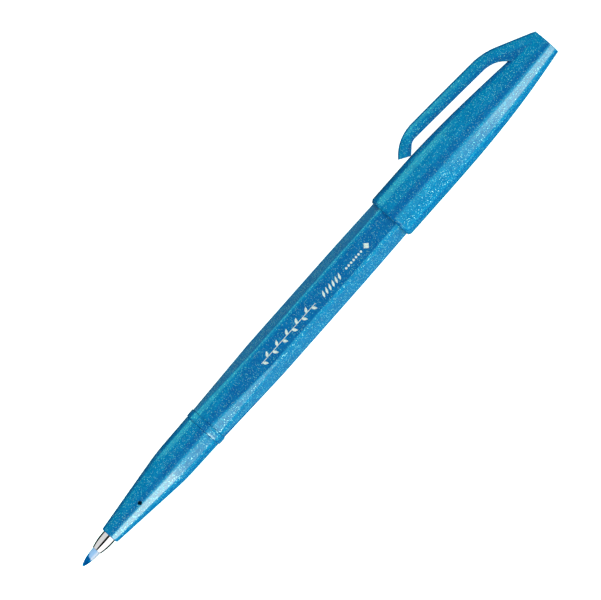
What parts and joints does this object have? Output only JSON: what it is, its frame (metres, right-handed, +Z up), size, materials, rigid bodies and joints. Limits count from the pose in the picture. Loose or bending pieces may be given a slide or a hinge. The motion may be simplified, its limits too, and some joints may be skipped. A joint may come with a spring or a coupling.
{
  "type": "brush-tip calligraphy marker",
  "caption": "Slim marker with a flexible brush nib, plated tip cone, tapered grip, faceted barrel and a clip cap posted on its tail.",
  "frame": {"origin": "centre of the bounding box's bottom face: the table under the middle of the lying pen", "axes": "+X from the nib to the cap's closed end, +Z up from the table, +Y to the side that the clip points to. The pen lies rolled by 23.67 degrees, so that the clip's edge and the cap's side touch the table."},
  "size_m": [0.1478, 0.0152, 0.011],
  "materials": {
    "nib_fibre": "porous fibre, dark blue with ink at its point and pale blue at its foot",
    "plated_tip": "thin drawn metal, polished and plated bright silver",
    "white_plastic": "soft white polyethylene",
    "inked_fibre": "bundled fibre soaked with blue ink",
    "clear_film": "thin clear film",
    "pearl_blue": "smooth glossy plastic, mid blue with fine silver glitter in it",
    "pearl_blue_cap": "smooth glossy plastic, mid blue with dense fine silver glitter in it"
  },
  "bodies": {
    "body": {"tip_cone": "plated_tip", "nib_bush": "white_plastic", "feed_rod": "inked_fibre", "front_section": "pearl_blue", "barrel": "pearl_blue", "reservoir_core": "inked_fibre", "reservoir_wrap": "clear_film", "tail_plug": "pearl_blue"},
    "nib": {"nib": "nib_fibre"},
    "seal": {"cap_inner_seal": "white_plastic"},
    "cap": {"cap_shell": "pearl_blue_cap"},
    "clip": {"cap_clip": "pearl_blue_cap"}
  },
  "joints": [
    {"name": "nib_bend", "type": "hinge", "parent": "body", "child": "nib", "pos_m": [-0.0696, -0.00207, 0.00551], "axis": [0, 0.4015, 0.9158], "range_deg": [-15, 15], "stiffness_Nm_per_rad": 0.008},
    {"name": "cap_pull", "type": "slide", "parent": "body", "child": "seal", "axis": [1, 0, 0], "range_m": [0, 0.035]},
    {"name": "cap_turn", "type": "hinge", "parent": "seal", "child": "cap", "pos_m": [0.0239, -0.00207, 0.00551], "axis": [1, 0, 0], "continuous": true},
    {"name": "clip_flex", "type": "hinge", "parent": "cap", "child": "clip", "pos_m": [0.0631, 0.00461, 0.00258], "axis": [0, -0.4015, -0.9158], "range_deg": [0, 6], "stiffness_Nm_per_rad": 0.05}
  ]
}
